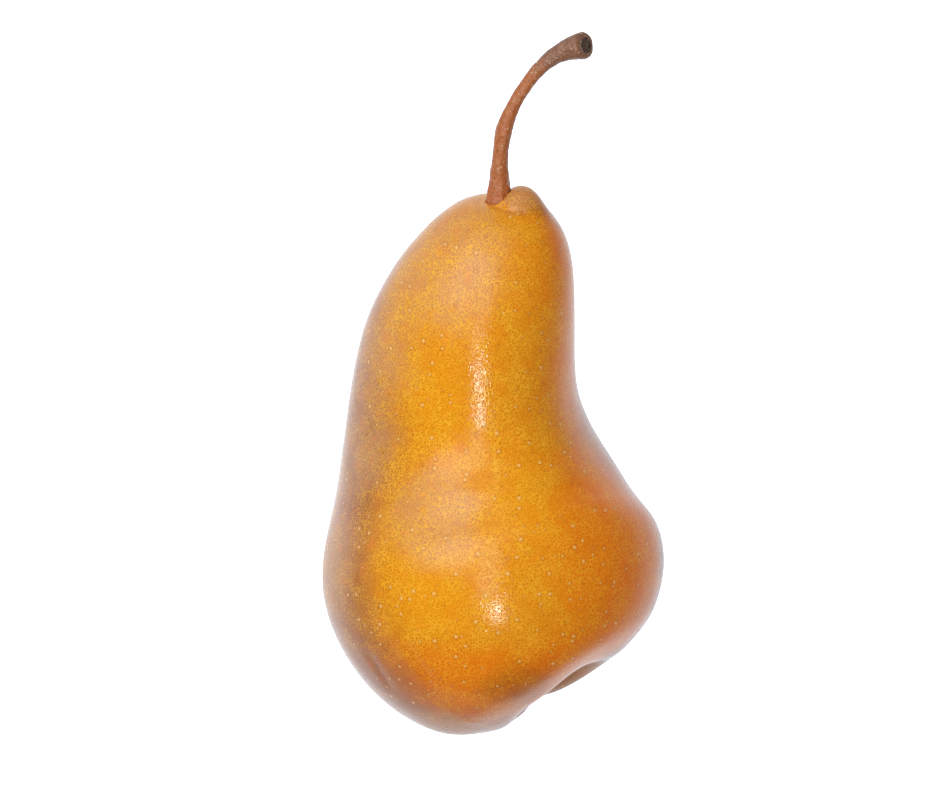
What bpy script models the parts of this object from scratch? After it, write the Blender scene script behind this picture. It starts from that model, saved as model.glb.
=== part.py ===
"""A russet pear lying on its side: the fruit, its woody stem and its dried calyx.

+Z is up. The pear rests on a small flat spot whose middle is the origin, its stem end points
along +Y and the hollow side of its bent neck faces +X. Lengths here are in millimetres, and
MM turns them into Blender's metres where a mesh is made.

Each piece is built along a centre line. A height is a distance along that line from its
first point, and an angle goes round it: 0 is the right side, seen from above with the line
running away, 90 is the upper side, 180 the left side and 270 the side that rests.
"""

import math

import bmesh
import bpy
import numpy as np
from mathutils import Matrix, Vector

MM = 0.001
GAP = 0.3  # kept between the pieces

# The fruit's centre line, from the middle of its base lobes to the root of its stem. A line
# or an outline is pulled by its points and meets the first and the last.
FRUIT_LINE = (
    (17.5, -37.0, 36.8),
    (6.5, -18.5, 36.6),
    (0.0, -1.5, 34.2),
    (-3.0, 17.5, 37.0),
    (-3.0, 35.0, 47.5),
    (4.0, 53.5, 55.5),
    (4.3, 65.3, 59.0),
)
# The fruit's outline as (radius, height), from the calyx pit's mouth to the stem socket's
FLANK = (
    (4.2, 8.5),
    (7.0, 7.0),
    (9.5, 3.9),
    (13.0, 1.8),
    (20.0, 4.0),
    (25.5, 6.5),
    (31.5, 14.5),
    (35.5, 25.0),
    (36.0, 37.0),
    (30.0, 48.0),
    (25.0, 58.5),
    (23.0, 70.0),
    (22.0, 81.7),
    (19.0, 93.5),
    (14.5, 106.8),
    (8.0, 111.9),
    (2.9, 112.0),
)
PIT_RADIUS = 3.7
PIT_FLOOR = 10.6
SOCKET_RADIUS = 2.6
SOCKET_FLOOR = 107.6

# Lobes of the base as (angle, half width, rise away from the neck), highest near LOBE_CREST,
# a share of the outline. Swellings of the flank as (angle, half width, height, spread, rise).
BASE_LOBES = (
    (65, 30, -1.5),
    (168, 30, 1.2),
    (215, 28, 1.0),
    (250, 14, -1.0),
    (290, 38, 0.8),
)
LOBE_CREST = 0.19
LOBE_SPREAD = 0.10
SWELLINGS = (
    (0, 40, 13, 9, 1.1),
    (0, 50, 37, 10, -2.5),
    (270, 48, 54, 13, 7.2),
    (180, 45, 50, 9, -1.1),
    (55, 30, 66, 18, 2.2),
    (125, 35, 66, 18, -2.0),
    (90, 50, 58, 12, 5.0),
)

# The top of the neck. The fleshy lip beside the stem is placed to its right and above it.
NECK_FROM = 83.0
NECK_TOP = 112.0
CAP_TILT = 0.08  # slope down towards the upper side
LIP_AT = (4.4, 1.4)
LIP_HEIGHT = 4.8
LIP_WIDTH = 4.0

# The stem, from its peg in the socket, past a thin waist and a node, to its flared cut end
STEM_LINE = (
    (4.3, 61.4, 57.9),
    (4.3, 68.0, 59.8),
    (4.4, 75.5, 61.7),
    (5.6, 82.5, 63.1),
    (10.7, 91.0, 64.5),
    (16.5, 96.3, 65.7),
    (22.3, 97.4, 66.7),
)
STEM_OUTLINE = (
    (1.6, 0.0),
    (2.3, 0.2),
    (2.3, 4.0),
    (2.4, 7.0),
    (1.8, 11.0),
    (1.6, 15.0),
    (1.85, 19.0),
    (1.45, 23.0),
    (1.3, 28.0),
    (1.45, 34.0),
    (1.8, 38.5),
    (2.5, 42.5),
    (2.9, 44.2),
    (2.6, 45.2),
    (1.6, 45.1),
)
SCAR_DEPTH = 0.5

# The dried calyx, a cup with curled sepals round dead stamens. Its parts are pulled by
# points of (distance from the pit's axis, height above the pit's floor).
CUP_OUTLINE = ((2.6, 0.0), (3.3, 0.2), (3.3, 1.2), (2.7, 1.6), (1.6, 1.1))
CUP_HOLLOW = 1.0
SEPALS = 5
SEPAL_CURL = ((2.4, 0.6), (2.9, 2.0), (3.5, 3.4), (5.0, 4.7), (5.4, 3.6))
SEPAL_WIDTH = 3.0
SEPAL_THICKNESS = 0.8
STAMENS = 9
STAMEN_CURL = ((1.4, 0.5), (1.7, 2.0), (1.3, 3.2))
STAMEN_RADIUS = 0.35

# Facets as (round the piece, along it)
FRUIT_FACETS = (52, 62)
STEM_FACETS = (14, 44)
CUP_FACETS = (28, 9)
SEPAL_FACETS = (10, 12)
STAMEN_FACETS = (6, 6)


def spline(points, share):
    """A smooth curve pulled by points, from the first at share 0 to the last at share 1."""
    points = np.array(points, float)
    held = np.concatenate([points[:1], points[:1], points, points[-1:], points[-1:]])
    place = np.clip(share, 0, 1) * (len(points) + 1)
    first = np.minimum(place.astype(int), len(points))
    u = (place - first)[:, None]
    return (
        held[first] * (1 - u) ** 3
        + held[first + 1] * (3 * u**3 - 6 * u**2 + 4)
        + held[first + 2] * (-3 * u**3 + 3 * u**2 + 3 * u + 1)
        + held[first + 3] * u**3
    ) / 6


def hump(distance, width):
    return np.exp(-((distance / width) ** 2))


def degrees_between(angle, middle):
    return (np.degrees(angle) - middle + 180) % 360 - 180


def centre_line(line, height):
    """Points of a centre line, with its rightward, upward and forward directions."""
    path = spline(line, np.linspace(0, 1, 400))
    lengths = np.linalg.norm(np.diff(path, axis=0), axis=1)
    steps = np.concatenate([[0], np.cumsum(lengths)])
    forwards = np.gradient(path, steps, axis=0)
    point = np.stack([np.interp(height, steps, column) for column in path.T], 1)
    forward = np.stack([np.interp(height, steps, column) for column in forwards.T], 1)
    beyond = height - np.clip(height, 0, steps[-1])
    point += forward * beyond[:, None]
    right = np.cross(forward, (0, 0, 1))
    right /= np.linalg.norm(right, axis=1)[:, None]
    return point, right, np.cross(right, forward), forward


def closed_outline(points, first_end, last_end, rings):
    """Radius and height of each ring of a piece, and its share of the way along.

    An end is the list of rings that close the piece there, outermost last.
    """
    share = np.linspace(0, 1, rings + 1 - len(first_end) - len(last_end))
    outline = np.concatenate([first_end, spline(points, share), last_end[::-1]])
    share = np.concatenate([[0] * len(first_end), share, [1] * len(last_end)])
    return outline[:, 0], outline[:, 1], share


def shaped_sphere(name, facets, shape):
    """A sphere whose vertices are moved to shape(ring, angle). Ring 0 is its first pole."""
    segments, rings = facets
    bm = bmesh.new()
    bmesh.ops.create_uvsphere(bm, u_segments=segments, v_segments=rings, radius=1.0)
    unit = np.array([vertex.co for vertex in bm.verts])
    ring = np.rint(np.arccos(np.clip(unit[:, 2], -1, 1)) / math.pi * rings).astype(int)
    angle = np.arctan2(unit[:, 1], unit[:, 0])
    for vertex, point in zip(bm.verts, shape(ring, angle)):
        vertex.co = Vector(point) * MM
    if bm.calc_volume(signed=True) < 0:
        bmesh.ops.reverse_faces(bm, faces=bm.faces)
    mesh = bpy.data.meshes.new(name)
    bm.to_mesh(mesh)
    bm.free()
    mesh.shade_smooth()
    return bpy.data.objects.new(name, mesh)


def fruit_points(ring, angle, rings):
    pit = [(0, PIT_FLOOR), (PIT_RADIUS, PIT_FLOOR)]
    socket = [(0, SOCKET_FLOOR), (SOCKET_RADIUS, SOCKET_FLOOR)]
    outline = closed_outline(FLANK, pit, socket, rings)
    radius, height, share = (values[ring] for values in outline)
    crest = hump(share - LOBE_CREST, LOBE_SPREAD)
    for middle, half_width, rise in BASE_LOBES:
        height = height - rise * hump(degrees_between(angle, middle), half_width) * crest
    for middle, half_width, level, spread, rise in SWELLINGS:
        side = hump(degrees_between(angle, middle), half_width)
        radius = radius + rise * side * hump(height - level, spread)

    right, up = radius * np.cos(angle), radius * np.sin(angle)
    neck = np.clip((height - NECK_FROM) / (NECK_TOP - NECK_FROM), 0, 1) ** 2
    neck[height == SOCKET_FLOOR] = 0
    lip = hump(np.hypot(right - LIP_AT[0], up - LIP_AT[1]), LIP_WIDTH)
    height = height + (LIP_HEIGHT * lip - CAP_TILT * up) * neck

    point, rightward, upward, _ = centre_line(FRUIT_LINE, height)
    return point + rightward * right[:, None] + upward * up[:, None]


def make_fruit():
    def shape(ring, angle):
        points = fruit_points(ring, angle, FRUIT_FACETS[1])
        points[:, 2] = np.maximum(points[:, 2], 0)
        return points

    return shaped_sphere("fruit", FRUIT_FACETS, shape)


def make_stem():
    def shape(ring, angle):
        scar = [(0, STEM_OUTLINE[-1][1] - SCAR_DEPTH)]
        outline = closed_outline(STEM_OUTLINE, [(0, 0)], scar, STEM_FACETS[1])
        radius, height, _ = (values[ring] for values in outline)
        point, rightward, upward, _ = centre_line(STEM_LINE, height)
        right, up = radius * np.cos(angle), radius * np.sin(angle)
        return point + rightward * right[:, None] + upward * up[:, None]

    return shaped_sphere("stem", STEM_FACETS, shape)


def make_cup():
    def shape(ring, angle):
        outline = closed_outline(CUP_OUTLINE, [(0, 0)], [(0, CUP_HOLLOW)], CUP_FACETS[1])
        radius, height, _ = (values[ring] for values in outline)
        return np.stack([radius * np.cos(angle), radius * np.sin(angle), height], 1)

    return shaped_sphere("calyx", CUP_FACETS, shape)


def make_blade(name, facets, curl, width, thickness):
    """A blade or a thread along curl, widest low down and closed to a rounded tip."""
    def shape(ring, angle):
        share = ring / facets[1]
        path = spline(curl, share)
        ahead = spline(curl, share + 0.01) - spline(curl, share - 0.01)
        ahead /= np.linalg.norm(ahead, axis=1)[:, None]
        taper = np.sin(math.pi * share**0.75) ** 0.6
        side = width / 2 * taper * np.cos(angle)
        depth = thickness / 2 * taper**0.5 * np.sin(angle)
        out = path[:, 0] + ahead[:, 1] * depth
        return np.stack([out, side, path[:, 1] - ahead[:, 0] * depth], 1)

    return shaped_sphere(name, facets, shape)


def make_calyx():
    """The cup joined with its sepals and stamens, standing on the floor of the pit."""
    calyx = make_cup()
    repeats = bpy.data.collections.new("calyx_repeats")
    for k in range(SEPALS):
        size = (SEPAL_WIDTH, SEPAL_THICKNESS)
        sepal = make_blade(f"sepal_{k + 1}", SEPAL_FACETS, SEPAL_CURL, *size)
        sepal.rotation_euler.z = math.tau * (k + 0.2 * math.sin(3.7 * k)) / SEPALS
        repeats.objects.link(sepal)
    for k in range(STAMENS):
        size = (2 * STAMEN_RADIUS, 2 * STAMEN_RADIUS)
        stamen = make_blade(f"stamen_{k + 1}", STAMEN_FACETS, STAMEN_CURL, *size)
        stamen.rotation_euler.z = math.tau * (k + 0.3 * math.sin(5.1 * k)) / STAMENS
        repeats.objects.link(stamen)

    scene = bpy.context.scene.collection
    scene.children.link(repeats)
    scene.objects.link(calyx)
    union = calyx.modifiers.new("union", "BOOLEAN")
    union.operation = "UNION"
    union.operand_type = "COLLECTION"
    union.collection = repeats
    graph = bpy.context.evaluated_depsgraph_get()
    joined = bpy.data.meshes.new_from_object(calyx.evaluated_get(graph))
    calyx.modifiers.clear()
    calyx.data = joined
    for old in list(repeats.objects):
        bpy.data.objects.remove(old)
    bpy.data.collections.remove(repeats)
    scene.objects.unlink(calyx)

    point, right, up, forward = (v[0] for v in centre_line(FRUIT_LINE, np.array([PIT_FLOOR])))
    turned = Matrix((right, up, -forward)).transposed().to_4x4()
    seat = Vector(point - forward * GAP) * MM
    calyx.matrix_world = Matrix.Translation(seat) @ turned
    return calyx


def paint(piece, name, colour, roughness):
    material = bpy.data.materials.new(name)
    material.use_nodes = True
    shader = material.node_tree.nodes["Principled BSDF"]
    shader.inputs["Base Color"].default_value = (*colour, 1.0)
    shader.inputs["Roughness"].default_value = roughness
    shader.inputs["Metallic"].default_value = 0.0
    piece.data.materials.clear()
    piece.data.materials.append(material)


def main():
    for old in list(bpy.data.objects):
        bpy.data.objects.remove(old)
    fruit, stem, calyx = make_fruit(), make_stem(), make_calyx()
    paint(fruit, "russet_skin", (0.63, 0.27, 0.045), 0.38)
    paint(stem, "stem_bark", (0.30, 0.12, 0.055), 0.6)
    paint(calyx, "dried_calyx", (0.10, 0.062, 0.035), 0.85)

    collection = bpy.data.collections.new("pear")
    bpy.context.scene.collection.children.link(collection)
    pear = bpy.data.objects.new("pear", None)
    collection.objects.link(pear)
    for piece in (fruit, stem, calyx):
        collection.objects.link(piece)
        piece.parent = pear


main()
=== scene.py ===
"""The looks of a russet pear lying on its side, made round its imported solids.

+Z is up, the stem end points along +Y and the hollow side of the bent neck faces +X. The
named shapes are in millimetres and MM turns them into metres where a mesh is made. Each piece
is built along a centre line: a height is a distance along it, and an angle goes round it, 0 on
the right, 90 above, 180 on the left and 270 below.
"""

import math

import bpy
import numpy as np
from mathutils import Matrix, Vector, noise


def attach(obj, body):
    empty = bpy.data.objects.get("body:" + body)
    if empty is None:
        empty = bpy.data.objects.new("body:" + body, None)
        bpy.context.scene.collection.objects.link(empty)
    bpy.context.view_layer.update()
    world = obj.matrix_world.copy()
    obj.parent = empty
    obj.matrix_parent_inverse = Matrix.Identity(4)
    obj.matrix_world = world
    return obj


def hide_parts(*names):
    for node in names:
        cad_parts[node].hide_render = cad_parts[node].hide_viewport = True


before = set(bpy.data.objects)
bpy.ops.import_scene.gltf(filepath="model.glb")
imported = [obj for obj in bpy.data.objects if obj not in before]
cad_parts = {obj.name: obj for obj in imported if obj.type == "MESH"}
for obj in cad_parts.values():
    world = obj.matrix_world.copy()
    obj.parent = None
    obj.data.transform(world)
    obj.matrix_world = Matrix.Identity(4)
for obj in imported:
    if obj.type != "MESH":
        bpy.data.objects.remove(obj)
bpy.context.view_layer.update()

bl_info = {
    "name": "Russet pear",
    "version": (1, 0, 0),
    "blender": (4, 5, 0),
    "location": "3D View > Sidebar > Pear",
    "description": "Makes a russet pear with its stem, its dried calyx and a pale studio",
    "category": "Object",
}

MM = 0.001
# Points worked out along a centre line and along a crease
LINE_STEPS = 400
CREASE_STEPS = 12

# The fruit's centre line, from the middle of its base lobes to the root of its stem
FRUIT_LINE = (
    (17.5, -37.0, 36.8),
    (6.5, -18.5, 36.6),
    (0.0, -1.5, 34.2),
    (-3.0, 17.5, 37.0),
    (-3.0, 35.0, 47.5),
    (4.0, 53.5, 55.5),
    (4.3, 65.3, 59.0),
)
# The fruit's outline as (radius, height), from the calyx pit's mouth to the stem's root
FLANK = (
    (4.2, 8.5),
    (7.0, 7.0),
    (9.5, 3.9),
    (13.0, 1.8),
    (20.0, 4.0),
    (25.5, 6.5),
    (31.5, 14.5),
    (35.5, 25.0),
    (36.0, 37.0),
    (30.0, 48.0),
    (25.0, 58.5),
    (23.0, 70.0),
    (22.0, 81.7),
    (19.0, 93.5),
    (14.5, 106.8),
    (8.0, 111.9),
    (2.9, 112.0),
)
PIT = ((0.0, 10.6), (3.7, 10.6))
# The flesh turns in and down against the stem
ROOT = ((0.0, 107.1), (1.6, 108.1), (2.2, 110.1))

# Lobes of the base as (angle, half width, rise away from the neck), highest at LOBE_CREST, a
# share of the outline
BASE_LOBES = (
    (65, 30, -1.5),
    (168, 30, 1.2),
    (215, 28, 1.0),
    (250, 14, -1.0),
    (290, 38, 0.8),
)
LOBE_CREST = 0.19
LOBE_SPREAD = 0.10
# Swellings of the flank as (angle, half width, height, spread, rise)
SWELLINGS = (
    (0, 40, 13, 9, 1.1),
    (0, 50, 37, 10, -2.5),
    (270, 48, 54, 13, 7.2),
    (180, 45, 50, 9, -1.1),
    (55, 30, 66, 18, 2.2),
    (125, 35, 66, 18, -2.0),
    (90, 50, 58, 12, 5.0),
)

# The top of the neck and the fleshy lip to the right of the stem
NECK_FROM = 83.0
NECK_TOP = 112.0
CAP_TILT = 0.08
LIP_AT = (5.0, 1.0)
LIP_HEIGHT = 3.6
LIP_WIDTH = 4.8
LIP_ROUNDNESS = 1.5

# Unevenness of the skin as (size, rise)
LUMPS = ((22.0, 0.20), (9.0, 0.05), (4.0, 0.03))
# Creases, scars and a small ridge seen from above, as (path, half width, rise)
CREASES = (
    (((3.6, 64.6), (6.5, 63.4), (9.3, 63.3)), 0.6, -0.45),
    (((-22.2, -28.2), (-20.0, -31.5), (-18.2, -34.2)), 0.7, -0.22),
    (((-14.6, -25.7), (-12.0, -29.5), (-9.9, -32.4)), 0.9, -0.15),
    (((-2.3, -41.2), (-0.9, -41.8), (0.6, -41.6)), 0.35, 0.10),
)

# The stem's centre line, from inside the neck to its cut end
STEM_LINE = (
    (4.3, 61.4, 57.9),
    (4.3, 68.0, 59.8),
    (4.4, 75.5, 61.7),
    (5.6, 82.5, 63.1),
    (10.7, 91.0, 64.5),
    (16.5, 96.3, 65.7),
    (22.3, 97.4, 66.7),
)
STEM_OUTLINE = (
    (1.6, 0.0),
    (2.9, 0.4),
    (2.9, 3.0),
    (2.5, 6.0),
    (2.1, 9.0),
    (1.75, 12.0),
    (1.6, 15.0),
    (1.85, 19.0),
    (1.45, 23.0),
    (1.3, 28.0),
    (1.45, 34.0),
    (1.8, 38.5),
    (2.5, 42.5),
    (2.9, 44.2),
    (2.6, 45.2),
    (1.6, 45.1),
)
# The scar at the cut end: a hollow with a rim, cut obliquely over the last few millimetres
SCAR_DEPTH = 0.5
SCAR_RIM = (0.9, 0.3)
SCAR_TILT = 0.45
SCAR_FROM = 41.0
SCAR_LENGTH = 4.0
SCAR_SHARE = 0.955
SCAR_ROUGHNESS = 0.25
# Low ridges round the stem's foot, whose rise is a share of its radius
FOOT_RIDGES = 9
FOOT_RISE = 0.05
# Unevenness of the bark as (size, seed, rise)
BARK_LUMPS = ((3.0, 4.0, 0.14), (1.2, 9.0, 0.09))

# The calyx: a cup round a hollow, with sepals and stamens that follow (distance out, height)
CUP_OUTLINE = ((2.6, 0.0), (3.3, 0.2), (3.3, 1.2), (2.7, 1.6), (1.6, 1.1))
CUP_HOLLOW = 1.0
CUP_GAP = 0.3
SEPALS = 5
SEPAL_SIZE = (3.0, 0.7)
SEPAL_CURL = ((2.4, 0.6), (2.9, 2.0), (3.5, 3.4), (5.0, 4.7), (5.4, 3.6))
STAMENS = 9
STAMEN_SIZE = (0.7, 0.7)
STAMEN_CURL = ((1.4, 0.5), (1.7, 2.0), (1.3, 3.2))
# How far, and in folds of what size, the dried parts are crumpled
CRUMPLE = 0.22
CRUMPLE_SIZE = 1.1

# Facets as (round the piece, along it)
FRUIT_FACETS = (260, 360)
STEM_FACETS = (72, 360)
CUP_FACETS = (96, 40)
SEPAL_FACETS = (24, 48)
STAMEN_FACETS = (12, 24)

SKIN_IOR = 1.42

# Lights as (name, direction, distance, width, length, radiance, colour), in metres
LIGHTS = (
    ("window", (-0.47, 0.62, 1.0), 1.0, 1.4, 1.3, 0.6, (1.0, 0.99, 0.97)),
    ("softbox", (-0.49, 0.32, 1.0), 1.0, 0.62, 0.75, 2.5, (1.0, 0.99, 0.97)),
    ("key", (0.04, -0.53, 1.0), 1.2, 0.10, 0.10, 70.0, (1.0, 0.98, 0.95)),
    ("strip", (-0.03, -0.10, 1.0), 1.2, 0.22, 0.62, 3.4, (1.0, 0.98, 0.95)),
)
LIGHTS_AIM_AT = (0.0, 0.02, 0.04)
ROOM_COLOUR = (1.0, 0.86, 0.52)
ROOM_LIGHT = 0.26
FLOOR_GREY = (0.4, 0.4, 0.4)
FLOOR_GLOW = (0.80, 0.88, 1.0)
FLOOR_LIGHT = 2.0
BLACK = (0.0, 0.0, 0.0)
# The point that the camera looks straight down on, and how far it sees
VIEW_CENTRE = (-0.00165, 0.02594, 0.033)
VIEW_DEPTH = 100.0


class PearSkin(bpy.types.PropertyGroup):
    """The fruit's skin."""
    amber: bpy.props.FloatVectorProperty(
        name="Amber", description="Most of the upper side", default=(0.87, 0.305, 0.004),
        subtype="COLOR", min=0, max=1)
    # Partly the riper skin and partly painted shade: the deeper, more saturated orange of the side
    # turned from the lamps, where light glows through the flesh
    orange: bpy.props.FloatVectorProperty(
        name="Orange", description="The riper right side and the base", default=(0.94, 0.20, 0.001),
        subtype="COLOR", min=0, max=1)
    yellow: bpy.props.FloatVectorProperty(
        name="Yellow", description="The clearest patches", default=(0.92, 0.34, 0.003),
        subtype="COLOR", min=0, max=1)
    # Painted shade: this brown darkens the flanks and the underside, the parts turned from the
    # lamps, and also gives the lip its browner tone
    painted_shade_brown: bpy.props.FloatVectorProperty(
        name="Painted shade brown", description="The flanks and the underside", default=(0.30, 0.076, 0.008),
        subtype="COLOR", min=0, max=1)
    # Partly the skin's own dry russet and partly a painted sheen: the hazy reflections of the lamps
    # and the pale floor on the flanks, the lip and the base
    russet: bpy.props.FloatVectorProperty(
        name="Russet", description="The dry, hazy patches", default=(0.60, 0.36, 0.24),
        subtype="COLOR", min=0, max=1)
    dot: bpy.props.FloatVectorProperty(
        name="Dot", description="The small corky dots", default=(1.0, 0.62, 0.22),
        subtype="COLOR", min=0, max=1)
    net: bpy.props.FloatVectorProperty(
        name="Net", description="The fine net that covers the skin", default=(1.0, 0.54, 0.035),
        subtype="COLOR", min=0, max=1)
    scar: bpy.props.FloatVectorProperty(
        name="Scar", description="Small brown spots and the rings round the dots",
        default=(0.40, 0.10, 0.006), subtype="COLOR", min=0, max=1)
    net_size: bpy.props.FloatProperty(
        name="Net size", description="Width of one mesh of the net", default=0.00062,
        unit="LENGTH", min=0.0002, max=0.005, precision=5)
    dot_spacing: bpy.props.FloatProperty(
        name="Dot spacing", description="Distance between the pale dots", default=0.0022,
        unit="LENGTH", min=0.001, max=0.02, precision=5)
    gloss: bpy.props.FloatProperty(
        name="Roughness", description="How much the skin blurs a reflection", default=0.13,
        subtype="FACTOR", min=0, max=1)


class PearStem(bpy.types.PropertyGroup):
    """The woody stem."""
    bark: bpy.props.FloatVectorProperty(
        name="Bark", description="Most of the stem", default=(0.46, 0.135, 0.040),
        subtype="COLOR", min=0, max=1)
    tip: bpy.props.FloatVectorProperty(
        name="Tip", description="The greyer bark near the cut end", default=(0.27, 0.125, 0.085),
        subtype="COLOR", min=0, max=1)
    cut: bpy.props.FloatVectorProperty(
        name="Cut", description="The weathered scar at its end", default=(0.085, 0.070, 0.065),
        subtype="COLOR", min=0, max=1)
    speck: bpy.props.FloatVectorProperty(
        name="Speck", description="Pale specks on the bark", default=(0.75, 0.50, 0.33),
        subtype="COLOR", min=0, max=1)


class PearCalyx(bpy.types.PropertyGroup):
    """The dried remains of the flower."""
    dry: bpy.props.FloatVectorProperty(
        name="Dry", description="Most of the calyx", default=(0.10, 0.062, 0.035),
        subtype="COLOR", min=0, max=1)
    edge: bpy.props.FloatVectorProperty(
        name="Edge", description="Worn edges and hairs", default=(0.27, 0.19, 0.12),
        subtype="COLOR", min=0, max=1)


class PearStudio(bpy.types.PropertyGroup):
    """The floor, the lights and the camera."""
    floor_width: bpy.props.FloatProperty(
        name="Floor width", description="Width of the pale floor", default=12.0,
        unit="LENGTH", min=1, max=50)
    frame_width: bpy.props.FloatProperty(
        name="Frame width", description="Width of the view at the pear's widest height",
        default=0.1935, unit="LENGTH", min=0.05, max=2, precision=4)
    camera_height: bpy.props.FloatProperty(
        name="Camera height", description="Height of the camera over that", default=6.0,
        unit="LENGTH", min=0.3, max=10)


def spline(points, share):
    """A smooth curve pulled by points, from the first at share 0 to the last at share 1."""
    points = np.array(points, float)
    held = np.concatenate([points[:1], points[:1], points, points[-1:], points[-1:]])
    place = np.clip(share, 0, 1) * (len(points) + 1)
    first = np.minimum(place.astype(int), len(points))
    u = (place - first)[:, None]
    return (
        held[first] * (1 - u) ** 3
        + held[first + 1] * (3 * u**3 - 6 * u**2 + 4)
        + held[first + 2] * (-3 * u**3 + 3 * u**2 + 3 * u + 1)
        + held[first + 3] * u**3
    ) / 6


def hump(distance, width):
    """1 at no distance, falling off smoothly over the width."""
    return np.exp(-((distance / width) ** 2))


def degrees_between(angle, middle):
    """How far an angle in radians is from a middle in degrees, the short way round."""
    return (np.degrees(angle) - middle + 180) % 360 - 180


def centre_line(line, height):
    """Points of a centre line, with its rightward, upward and forward directions."""
    path = spline(line, np.linspace(0, 1, LINE_STEPS))
    lengths = np.linalg.norm(np.diff(path, axis=0), axis=1)
    steps = np.concatenate([[0], np.cumsum(lengths)])
    forwards = np.gradient(path, steps, axis=0)
    point = np.stack([np.interp(height, steps, column) for column in path.T], -1)
    forward = np.stack([np.interp(height, steps, column) for column in forwards.T], -1)
    beyond = height - np.clip(height, 0, steps[-1])
    point += forward * beyond[..., None]
    right = np.cross(forward, (0, 0, 1))
    right /= np.linalg.norm(right, axis=-1)[..., None]
    return point, right, np.cross(right, forward), forward


def closed_outline(points, first_end, last_end, rings):
    """Radius and height of each ring of a piece, and its share of the way along."""
    share = np.linspace(0, 1, rings + 1 - len(first_end) - len(last_end))
    outline = np.concatenate([first_end, spline(points, share), last_end[::-1]])
    share = np.concatenate([[0] * len(first_end), share, [1] * len(last_end)])
    return outline[:, 0], outline[:, 1], share


def rings_and_angles(facets, values):
    """Each ring's values spread over the angles round it, and the angles."""
    segments, rings = facets
    angle = np.broadcast_to(np.arange(segments) * math.tau / segments, (rings + 1, segments))
    return [np.repeat(value[:, None], segments, 1) for value in values] + [angle]


def normals_of(points):
    """Outward directions of a grid of rings of points that run forwards along a centre line."""
    round_it = np.roll(points, -1, axis=1) - np.roll(points, 1, axis=1)
    along = np.gradient(points, axis=0)
    normal = np.cross(along, round_it)
    length = np.linalg.norm(normal, axis=-1)[..., None]
    return normal / np.maximum(length, 1e-9)


def cloud(points, size, seed=0.0):
    """Smooth unevenness from about -1 to 1 at each point, with that size of lump."""
    flat = points.reshape(-1, 3) / size + seed
    values = np.array([noise.noise(Vector(point)) for point in flat])
    return values.reshape(points.shape[:-1])


def path_distance(x, y, path):
    """Distance of each point from a path seen from above."""
    path = spline(path, np.linspace(0, 1, CREASE_STEPS))
    best = np.full(x.shape, np.inf)
    for (x0, y0), (x1, y1) in zip(path[:-1], path[1:]):
        dx, dy = x1 - x0, y1 - y0
        share = np.clip(((x - x0) * dx + (y - y0) * dy) / (dx * dx + dy * dy), 0, 1)
        best = np.minimum(best, np.hypot(x - x0 - share * dx, y - y0 - share * dy))
    return best


def runs_inwards(points):
    """Whether a grid's rings turn the wrong way, so that its faces would look inwards."""
    corner, along = points[:-1], points[1:] - points[:-1]
    around = np.roll(corner, -1, axis=1) - corner
    middle = corner.mean(axis=(0, 1))
    return np.sum(np.cross(along, around) * (corner - middle)) < 0


def ringed_mesh(name, grids, attributes=None):
    """An object of one or more grids of rings of points, each closed at both ends, in metres."""
    vertices, faces = [], []
    for points in grids:
        if runs_inwards(points):
            points = points[:, ::-1]
        rings, segments, _ = points.shape
        start = len(vertices)
        vertices += [points[0, 0], *points[1:-1].reshape(-1, 3), points[-1, 0]]
        for j in range(segments):
            k = (j + 1) % segments
            first = start + 1
            faces.append((start, first + j, first + k))
            for row in range(first, first + (rings - 3) * segments, segments):
                faces.append((row + k, row + j, row + segments + j, row + segments + k))
            row = first + (rings - 3) * segments
            faces.append((row + k, row + j, len(vertices) - 1))
    mesh = bpy.data.meshes.new(name)
    mesh.from_pydata((np.array(vertices) * MM).tolist(), [], faces)
    for key, grid in (attributes or {}).items():
        values = np.concatenate([grid[:1, 0], grid[1:-1].ravel(), grid[-1:, 0]])
        layer = mesh.attributes.new(key, "FLOAT", "POINT")
        layer.data.foreach_set("value", values.astype(np.float32))
    mesh.shade_smooth()
    return bpy.data.objects.new(name, mesh)


class Value:
    """A socket of a node tree, so that shader maths reads as an expression."""

    def __init__(self, nodes, socket):
        self.nodes = nodes
        self.socket = socket

    def maths(self, operation, *values):
        return self.nodes.node("ShaderNodeMath", {"operation": operation}, dict(enumerate(values)))

    def __add__(self, other):
        return self.maths("ADD", self, other)

    def __sub__(self, other):
        return self.maths("SUBTRACT", self, other)

    def __rsub__(self, other):
        return self.maths("SUBTRACT", other, self)

    def __mul__(self, other):
        return self.maths("MULTIPLY", self, other)

    def __truediv__(self, other):
        return self.maths("DIVIDE", self, other)

    __radd__ = __add__
    __rmul__ = __mul__


def find(sockets, key):
    """A socket by its number, its identifier or its name."""
    if isinstance(key, int):
        return sockets[key]
    for socket in sockets:
        if socket.identifier == key:
            return socket
    return sockets[key]


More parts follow.
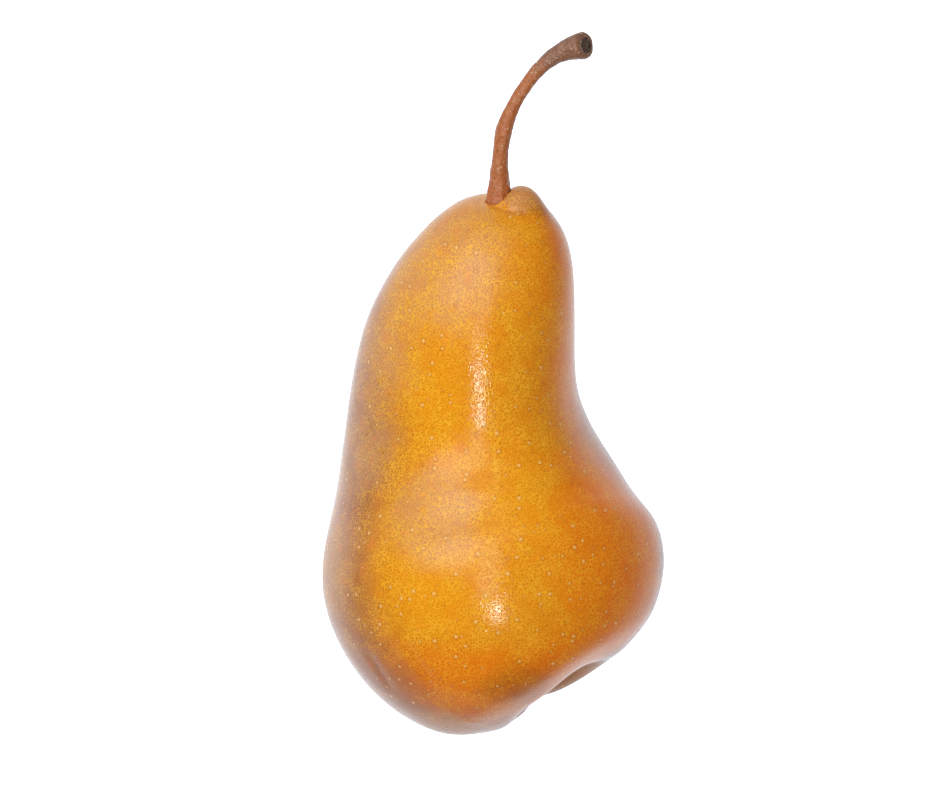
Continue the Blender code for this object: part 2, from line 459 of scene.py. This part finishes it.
class Nodes:
    """A node tree that is built by calls."""

    def __init__(self, tree):
        self.tree = tree

    def set(self, socket, value):
        if isinstance(value, Value):
            self.tree.links.new(value.socket, socket)
        else:
            socket.default_value = value

    def node(self, kind, settings=None, inputs=None, output=0):
        """Adds a node, makes its settings, then sets or links its inputs."""
        node = self.tree.nodes.new(kind)
        for name, value in (settings or {}).items():
            setattr(node, name, value)
        for key, value in (inputs or {}).items():
            self.set(find(node.inputs, key), value)
        return Value(self, find(node.outputs, output))

    def between(self, value, low, high):
        """Rises smoothly from 0 where value is low to 1 where it is high."""
        ends = {"Value": value, "From Min": low, "From Max": high}
        return self.node("ShaderNodeMapRange", {"interpolation_type": "SMOOTHSTEP"}, ends)

    def mixed(self, factor, first, second):
        """The first colour where factor is 0 and the second where it is 1."""
        ends = {"Factor_Float": factor, "A_Color": first, "B_Color": second}
        return self.node("ShaderNodeMix", {"data_type": "RGBA"}, ends, "Result_Color")

    def vector(self, operation, first, second=None, output="Vector"):
        ends = {0: first} if second is None else {0: first, 1: second}
        return self.node("ShaderNodeVectorMath", {"operation": operation}, ends, output)

    def noise(self, where, size, detail=2.0, output="Fac"):
        ends = {"Vector": where, "Scale": 1 / size, "Detail": detail}
        return self.node("ShaderNodeTexNoise", {}, ends, output)

    def shaken(self, where, size, reach):
        """The place moved about by up to half of reach."""
        shift = self.vector("SUBTRACT", self.noise(where, size, 2.0, "Color"), (0.5, 0.5, 0.5))
        shift = self.vector("MULTIPLY", shift, (reach, reach, reach))
        return self.vector("ADD", where, shift)

    def axes(self, where):
        """The three coordinates of a place."""
        return [self.node("ShaderNodeSeparateXYZ", {}, {0: where}, axis) for axis in "XYZ"]

    def patch(self, where, centre, core, edge):
        """1 within core of a place and 0 beyond edge."""
        distance = self.vector("DISTANCE", where, centre, "Value")
        return 1 - self.between(distance, core, edge)


def colour(rgb):
    """An opaque colour, as a shader's socket takes it."""
    return (*rgb, 1.0)


def new_finish(name):
    """A new material, its nodes, its shader and the place on the piece in millimetres."""
    material = bpy.data.materials.new(name)
    material.use_nodes = True
    nodes = Nodes(material.node_tree)
    shader = material.node_tree.nodes["Principled BSDF"]
    place = nodes.node("ShaderNodeTexCoord", {}, {}, "Object")
    where = nodes.vector("MULTIPLY", place, (1 / MM, 1 / MM, 1 / MM))
    return material, nodes, shader, where


def bump(nodes, shader, height):
    """Feeds a height in millimetres to the shader's normal."""
    normal = nodes.node("ShaderNodeBump", {}, {"Strength": 1.0, "Distance": MM, "Height": height})
    nodes.set(shader.inputs["Normal"], normal)


# Colour patches as (x, y, z, core, edge): full within core of a place, gone beyond edge
YELLOW_PATCHES = (
    (-10.0, 25.0, 62.0, 2.0, 14.0),
    (-10.0, -16.0, 68.0, 3.0, 13.0),
    (-1.0, -31.0, 62.0, 2.0, 9.0),
    (12.0, 4.0, 66.0, 3.0, 14.0),
)
# Dry russet patches that also carry a painted sheen: reflections of the pale floor on the left
# flank, the bottom, the lip and the base's far rim, and painted light that lifts the painted shade
# on the left of the neck
RUSSET_AND_SHEEN_PATCHES = (
    (-10.0, 1.0, 68.0, 5.0, 15.0),
    (-6.0, 52.0, 64.0, 6.0, 20.0),
    (-18.0, 34.0, 56.0, 2.0, 16.0),
    (-20.0, 15.0, 50.0, 2.0, 16.0),
    (9.0, 68.0, 61.0, 2.0, 8.0),
    (-27.0, -10.0, 44.0, 3.0, 18.0),
    (-6.0, -40.0, 45.0, 3.0, 12.0),
    (20.0, -33.0, 22.0, 8.0, 14.0),
)
# Patches that add painted shade to the brown mask on the lower belly and along the right rim, and
# that also give the lip and the stem's foot their own browner tone
SHADE_AND_BROWN_PATCHES = (
    (10.0, 67.0, 61.0, 3.0, 9.0),
    (13.0, 62.0, 54.0, 2.0, 12.0),
    (8.0, -31.0, 58.0, 3.0, 13.0),
    (34.0, -8.0, 32.0, 6.0, 16.0),
    (26.0, -28.0, 34.0, 6.0, 14.0),
)
SPOTS = (
    (8.2, -16.9, 68.0, 0.3, 1.6),
    (-7.8, -34.0, 62.0, 0.2, 1.4),
    (-25.0, -12.0, 57.0, 0.4, 2.2),
)


def make_skin(look):
    material, nodes, shader, where = new_finish("russet_skin")
    loose = nodes.shaken(where, 7.0, 5.0)

    def patches(places):
        total = 0.0
        for x, y, z, core, edge in places:
            total = nodes.patch(loose, (x, y, z), core, edge) + total
        return nodes.between(total, 0.0, 1.0)

    # Large areas of colour: orange on the right and at the base, partly riper skin and partly
    # painted shade; and a brown that is painted shade, darker towards the ground and further left
    mottle = nodes.noise(where, 3.0, 4.0)
    broad = nodes.noise(where, 11.0, 3.0)
    x, y, z = nodes.axes(loose)
    ground = nodes.mixed(patches(YELLOW_PATCHES), colour(look.amber), colour(look.yellow))
    # Orange on the right and at the base: riper skin, and painted shade standing in for light that
    # glows through the flesh on the shaded side
    riper_and_shade_orange = nodes.between(x + y * 0.08, 5.0, 30.0) + nodes.between(0 - y, 20.0, 33.0)
    riper_and_shade_orange = nodes.between(riper_and_shade_orange + (broad - 0.5) * 0.5, 0.0, 1.0)
    ground = nodes.mixed(riper_and_shade_orange, ground, colour(look.orange))
    # Painted shade: brown laid over the skin, more of it lower down and further left, and in the
    # patches above
    shade_and_brown = 1 - nodes.between(z + x * 0.30, 38.0, 67.0)
    shade_and_brown = nodes.between(shade_and_brown + patches(SHADE_AND_BROWN_PATCHES) * 0.5, 0.0, 1.0)
    ground = nodes.mixed(shade_and_brown, ground, colour(look.painted_shade_brown))
    # Dry russet, and a painted sheen of reflected lamps and floor, laid over the patches
    dull_and_sheen_places = patches(RUSSET_AND_SHEEN_PATCHES)
    russet_and_painted_sheen = dull_and_sheen_places * nodes.between(mottle, 0.15, 0.50)
    ground = nodes.mixed(russet_and_painted_sheen * 0.50, ground, colour(look.russet))

    # The fine pale net with its darker meshes
    netted = nodes.shaken(where, 0.6, 0.5)
    cells = {"Vector": netted, "Scale": MM / look.net_size}
    edges = nodes.node("ShaderNodeTexVoronoi", {"feature": "DISTANCE_TO_EDGE"}, cells)
    net = 1 - nodes.between(edges, 0.03, 0.20)
    spread = nodes.between(nodes.noise(where, 5.0, 3.0), 0.30, 0.65)
    grain = nodes.noise(where, 0.42, 2.0)
    fleck = nodes.between(grain + net * 0.6, 0.62, 0.98)
    ground = nodes.mixed((1 - fleck) * 0.19, ground, colour(look.scar))
    # The net is fainter where the painted shade and the orange of the shaded right side lie
    pale = (spread * 0.45 + 0.28) * (1.1 - riper_and_shade_orange * 0.35 - shade_and_brown * 0.5)
    ground = nodes.mixed(fleck * pale, ground, colour(look.net))
    ground = nodes.mixed(nodes.between(mottle, 0.5, 0.75) * 0.22, ground, colour(look.orange))

    # Corky dots of uneven size, each in a darker ring
    dots = {"Vector": where, "Scale": MM / look.dot_spacing}
    reach = nodes.node("ShaderNodeTexVoronoi", {}, dots, "Distance")
    size = nodes.node("ShaderNodeTexVoronoi", {}, dots, "Color")
    size = nodes.node("ShaderNodeSeparateColor", {}, {0: size})
    size = nodes.between(size, 0.0, 1.0) * 0.11 + 0.08
    reach = reach / size
    ring = nodes.between(reach, 0.8, 1.2) * (1 - nodes.between(reach, 1.3, 2.0))
    dot = 1 - nodes.between(reach, 0.6, 1.2)
    ground = nodes.mixed(ring * 0.26, ground, colour(look.scar))
    ground = nodes.mixed(dot * 0.72, ground, colour(look.dot))

    spot = 0.0
    for x, y, z, core, edge in SPOTS:
        spot = nodes.patch(where, (x, y, z), core, edge) + spot
    ground = nodes.mixed(spot * 0.6, ground, colour(look.scar))
    nodes.set(shader.inputs["Base Color"], ground)

    # The dry patches blur what they reflect
    ripple = nodes.noise(where, 2.4, 3.0)
    rough = look.gloss + (mottle - 0.5) * 0.10 + dull_and_sheen_places * 0.16
    nodes.set(shader.inputs["Roughness"], rough)
    shader.inputs["IOR"].default_value = SKIN_IOR
    relief = ripple * 0.03 + nodes.between(edges, 0.0, 0.45) * 0.020 + dot * 0.05
    bump(nodes, shader, relief)
    return material


def make_bark(look):
    material, nodes, shader, where = new_finish("stem_bark")
    along = nodes.node("ShaderNodeAttribute", {"attribute_name": "along"}, {}, "Fac")
    end = nodes.node("ShaderNodeAttribute", {"attribute_name": "cut"}, {}, "Fac")
    mottle = nodes.noise(where, 1.6, 4.0)
    fine = nodes.noise(where, 0.40, 3.0)
    near_end = nodes.between(along + mottle * 6.0, 34.0, 41.0)
    ground = nodes.mixed(near_end, colour(look.bark), colour(look.tip))
    ground = nodes.mixed(nodes.between(fine, 0.52, 0.70) * 0.45, ground, colour(look.cut))
    pale = nodes.between(fine, 0.44, 0.30) * 0.30 + nodes.between(mottle, 0.55, 0.72) * 0.15
    ground = nodes.mixed(pale, ground, colour(look.speck))
    specks = nodes.node("ShaderNodeTexVoronoi", {}, {"Vector": where, "Scale": 1 / 1.1}, "Distance")
    speck = (1 - nodes.between(specks, 0.12, 0.26)) * nodes.between(mottle, 0.40, 0.55)
    ground = nodes.mixed(speck * 0.85, ground, colour(look.speck))
    crack = nodes.between(nodes.noise(where, 0.5, 4.0), 0.42, 0.62)
    scar = nodes.mixed(crack * 0.6, colour(look.cut), colour(look.tip))
    ground = nodes.mixed(end, ground, scar)
    nodes.set(shader.inputs["Base Color"], ground)
    nodes.set(shader.inputs["Roughness"], 0.27 + (mottle - 0.5) * 0.2 + end * 0.4)
    bump(nodes, shader, fine * 0.14 + mottle * 0.14 + speck * 0.05 + crack * end * 0.2)
    return material


def make_dried(look):
    material, nodes, shader, where = new_finish("dried_calyx")
    mottle = nodes.noise(where, 0.8, 5.0)
    fine = nodes.noise(where, 0.15, 3.0)
    worn = nodes.between(mottle + fine * 0.5, 0.65, 1.0)
    nodes.set(shader.inputs["Base Color"], nodes.mixed(worn, colour(look.dry), colour(look.edge)))
    nodes.set(shader.inputs["Roughness"], 0.8 + worn * 0.15)
    bump(nodes, shader, mottle * 0.2 + fine * 0.05)
    return material


def stand_for(piece, node, material):
    """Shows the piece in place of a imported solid."""
    piece.data.materials.clear()
    piece.data.materials.append(material)
    bpy.context.scene.collection.objects.link(piece)
    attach(piece, "root")
    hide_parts(node)


class PEAR_OT_fruit(bpy.types.Operator):
    """Make the fruit with its skin"""
    bl_idname = "pear.fruit"
    bl_label = "Make the fruit"

    def execute(self, context):
        outline = closed_outline(FLANK, PIT, ROOT, FRUIT_FACETS[1])
        radius, height, share, angle = rings_and_angles(FRUIT_FACETS, outline)
        crest = hump(share - LOBE_CREST, LOBE_SPREAD)
        for middle, half_width, rise in BASE_LOBES:
            height = height - rise * hump(degrees_between(angle, middle), half_width) * crest
        for middle, half_width, level, spread, rise in SWELLINGS:
            side = hump(degrees_between(angle, middle), half_width)
            radius = radius + rise * side * hump(height - level, spread)
        radius[0] = radius[-1] = 0

        right, up = radius * np.cos(angle), radius * np.sin(angle)
        # The end of the neck leans back and carries the lip
        neck = np.clip((height - NECK_FROM) / (NECK_TOP - NECK_FROM), 0, 1) ** 2
        from_lip = np.hypot(right - LIP_AT[0], up - LIP_AT[1])
        lip = hump(from_lip**LIP_ROUNDNESS, LIP_WIDTH**LIP_ROUNDNESS)
        rise = (LIP_HEIGHT * lip - CAP_TILT * up) * neck
        rise[-1] = 0
        point, rightward, upward, _ = centre_line(FRUIT_LINE, height + rise)
        points = point + rightward * right[..., None] + upward * up[..., None]

        normal = normals_of(points)
        relief = sum(cloud(points, size, size) * depth for size, depth in LUMPS)
        above = np.clip(normal[..., 2] * 2, 0, 1)
        for path, half_width, depth in CREASES:
            away = path_distance(points[..., 0], points[..., 1], path)
            relief = relief + depth * hump(away, half_width) * above
        # The pit stays smooth round the calyx, and the flat spot lies on the ground
        relief = relief * np.clip(share * 20, 0, 1)
        points = points + normal * relief[..., None]
        points[..., 2] = np.maximum(points[..., 2], 0)
        fruit = ringed_mesh("pear_fruit", [points])
        stand_for(fruit, "fruit", make_skin(context.scene.pear_skin))
        return {"FINISHED"}


class PEAR_OT_stem(bpy.types.Operator):
    """Make the woody stem"""
    bl_idname = "pear.stem"
    bl_label = "Make the stem"

    def execute(self, context):
        end = STEM_OUTLINE[-1][1]
        scar = [(0, end - SCAR_DEPTH), (SCAR_RIM[0], end - SCAR_RIM[1])]
        outline = closed_outline(STEM_OUTLINE, [(0, 0)], scar, STEM_FACETS[1])
        radius, height, share, angle = rings_and_angles(STEM_FACETS, outline)
        ridges = np.sin(angle * FOOT_RIDGES + 2.0 * np.sin(height / 4))
        radius = radius * (1 + ridges * FOOT_RISE * hump(height - 3, 5))
        oblique = np.clip((height - SCAR_FROM) / SCAR_LENGTH, 0, 1) * SCAR_TILT
        height = height - radius * np.sin(angle) * oblique
        point, rightward, upward, _ = centre_line(STEM_LINE, height)
        right, up = radius * np.cos(angle), radius * np.sin(angle)
        points = point + rightward * right[..., None] + upward * up[..., None]
        normal = normals_of(points)
        relief = sum(cloud(points, size, seed) * rise for size, seed, rise in BARK_LUMPS)
        relief = relief * np.clip(share * 10, 0, 1)
        cut = np.clip((share - SCAR_SHARE) / 0.01, 0, 1)
        relief = relief + cloud(points, 0.8, 2.0) * SCAR_ROUGHNESS * cut
        points = points + normal * relief[..., None]
        stem = ringed_mesh("pear_stem", [points], {"along": height, "cut": cut})
        stand_for(stem, "stem", make_bark(context.scene.pear_stem))
        return {"FINISHED"}


def blade(facets, curl, width, thickness, turn):
    """Points of a blade or thread along curl, turned about the pit's axis."""
    share = np.linspace(0, 1, facets[1] + 1)
    path = spline(curl, share)
    ahead = spline(curl, share + 0.01) - spline(curl, share - 0.01)
    ahead /= np.linalg.norm(ahead, axis=1)[:, None]
    taper = np.sin(math.pi * share**0.75) ** 0.6
    columns = (path[:, 0], path[:, 1], ahead[:, 0], ahead[:, 1], taper)
    out, height, ahead_out, ahead_up, taper, angle = rings_and_angles(facets, columns)
    side = width / 2 * taper * np.cos(angle)
    depth = thickness / 2 * taper**0.5 * np.sin(angle)
    out = out + ahead_up * depth
    height = height - ahead_out * depth
    c, s = math.cos(turn), math.sin(turn)
    return np.stack([out * c - side * s, out * s + side * c, height], -1)


class PEAR_OT_calyx(bpy.types.Operator):
    """Make the dried calyx in the pit of the base"""
    bl_idname = "pear.calyx"
    bl_label = "Make the calyx"

    def execute(self, context):
        outline = closed_outline(CUP_OUTLINE, [(0, 0)], [(0, CUP_HOLLOW)], CUP_FACETS[1])
        radius, height, _, angle = rings_and_angles(CUP_FACETS, outline)
        parts = [np.stack([radius * np.cos(angle), radius * np.sin(angle), height], -1)]
        for k in range(SEPALS):
            turn = math.tau * (k + 0.2 * math.sin(3.7 * k)) / SEPALS
            parts.append(blade(SEPAL_FACETS, SEPAL_CURL, *SEPAL_SIZE, turn))
        for k in range(STAMENS):
            turn = math.tau * (k + 0.3 * math.sin(5.1 * k)) / STAMENS
            parts.append(blade(STAMEN_FACETS, STAMEN_CURL, *STAMEN_SIZE, turn))

        pit_floor = np.array([PIT[0][1]])
        point, right, up, forward = (v[0] for v in centre_line(FRUIT_LINE, pit_floor))
        axes = np.stack([right, up, -forward])
        placed = []
        for k, part in enumerate(parts):
            crumple = np.stack([cloud(part, CRUMPLE_SIZE, 3.0 * n + k) for n in range(3)], -1)
            placed.append((part + crumple * CRUMPLE) @ axes + point - forward * CUP_GAP)
        calyx = ringed_mesh("pear_calyx", placed)
        stand_for(calyx, "calyx", make_dried(context.scene.pear_calyx))
        return {"FINISHED"}


def area_light(name, direction, distance, width, length, radiance, tint):
    """A soft light that faces the pear from a direction."""
    light = bpy.data.lights.new(name, "AREA")
    light.shape = "RECTANGLE"
    light.size, light.size_y = width, length
    light.energy = radiance * math.pi * width * length
    light.color = tint
    lamp = bpy.data.objects.new(name, light)
    away = Vector(direction).normalized()
    lamp.location = Vector(LIGHTS_AIM_AT) + away * distance
    lamp.rotation_euler = away.to_track_quat("Z", "Y").to_euler()
    lamp.visible_camera = False
    bpy.context.scene.collection.objects.link(lamp)


class PEAR_OT_studio(bpy.types.Operator):
    """Make the floor, the lights and the camera"""
    bl_idname = "pear.studio"
    bl_label = "Make the studio"

    def execute(self, context):
        scene = context.scene
        studio = scene.pear_studio
        half = studio.floor_width / 2
        mesh = bpy.data.meshes.new("floor")
        corners = [(-half, -half, 0), (half, -half, 0), (half, half, 0), (-half, half, 0)]
        mesh.from_pydata(corners, [], [(0, 1, 2, 3)])
        floor = bpy.data.objects.new("floor", mesh)
        scene.collection.objects.link(floor)
        material, nodes, shader, where = new_finish("white_floor")
        shader.inputs["Base Color"].default_value = colour(FLOOR_GREY)
        shader.inputs["Roughness"].default_value = 1.0
        shader.inputs["Specular IOR Level"].default_value = 0.0
        shader.inputs["Emission Strength"].default_value = FLOOR_LIGHT
        seen = nodes.node("ShaderNodeLightPath", {}, {}, "Is Camera Ray")
        near = 1 - nodes.between(nodes.vector("LENGTH", where, None, "Value"), 60.0, 200.0)
        left = 1 - nodes.between(nodes.axes(where)[0], -150.0, 150.0)
        glow = near * 0.40 + left * 0.15 + seen * 0.40 + 0.05
        lit = nodes.mixed(glow, colour(BLACK), colour(FLOOR_GLOW))
        nodes.set(shader.inputs["Emission Color"], lit)
        mesh.materials.append(material)

        for light in LIGHTS:
            area_light(*light)

        world = bpy.data.worlds.new("room")
        world.use_nodes = True
        scene.world = world
        background = world.node_tree.nodes["Background"]
        background.inputs["Color"].default_value = colour(ROOM_COLOUR)
        background.inputs["Strength"].default_value = ROOM_LIGHT

        camera = bpy.data.objects.new("camera", bpy.data.cameras.new("camera"))
        scene.collection.objects.link(camera)
        camera.location = Vector(VIEW_CENTRE) + Vector((0, 0, studio.camera_height))
        sensor = camera.data.sensor_width
        camera.data.lens = sensor * studio.camera_height / studio.frame_width
        camera.data.clip_end = VIEW_DEPTH
        scene.camera = camera
        scene.view_settings.view_transform = "Standard"
        return {"FINISHED"}


class PEAR_PT_sidebar(bpy.types.Panel):
    """Lists the pear's sizes, colours and pieces"""
    bl_idname = "PEAR_PT_sidebar"
    bl_label = "Russet pear"
    bl_space_type = "VIEW_3D"
    bl_region_type = "UI"
    bl_category = "Pear"

    def draw(self, context):
        for group, operator in (
            (context.scene.pear_skin, PEAR_OT_fruit),
            (context.scene.pear_stem, PEAR_OT_stem),
            (context.scene.pear_calyx, PEAR_OT_calyx),
            (context.scene.pear_studio, PEAR_OT_studio),
        ):
            box = self.layout.box()
            for name in group.__annotations__:
                box.prop(group, name)
            box.operator(operator.bl_idname)


GROUPS = {
    "pear_skin": PearSkin,
    "pear_stem": PearStem,
    "pear_calyx": PearCalyx,
    "pear_studio": PearStudio,
}
OPERATORS = (PEAR_OT_fruit, PEAR_OT_stem, PEAR_OT_calyx, PEAR_OT_studio)


def register():
    for name, group in GROUPS.items():
        bpy.utils.register_class(group)
        setattr(bpy.types.Scene, name, bpy.props.PointerProperty(type=group))
    for made in (*OPERATORS, PEAR_PT_sidebar):
        bpy.utils.register_class(made)


def unregister():
    for made in (PEAR_PT_sidebar, *reversed(OPERATORS)):
        bpy.utils.unregister_class(made)
    for name, group in GROUPS.items():
        delattr(bpy.types.Scene, name)
        bpy.utils.unregister_class(group)


def main():
    register()
    bpy.ops.pear.studio()
    bpy.ops.pear.fruit()
    bpy.ops.pear.stem()
    bpy.ops.pear.calyx()


if __name__ == "__main__":
    main()
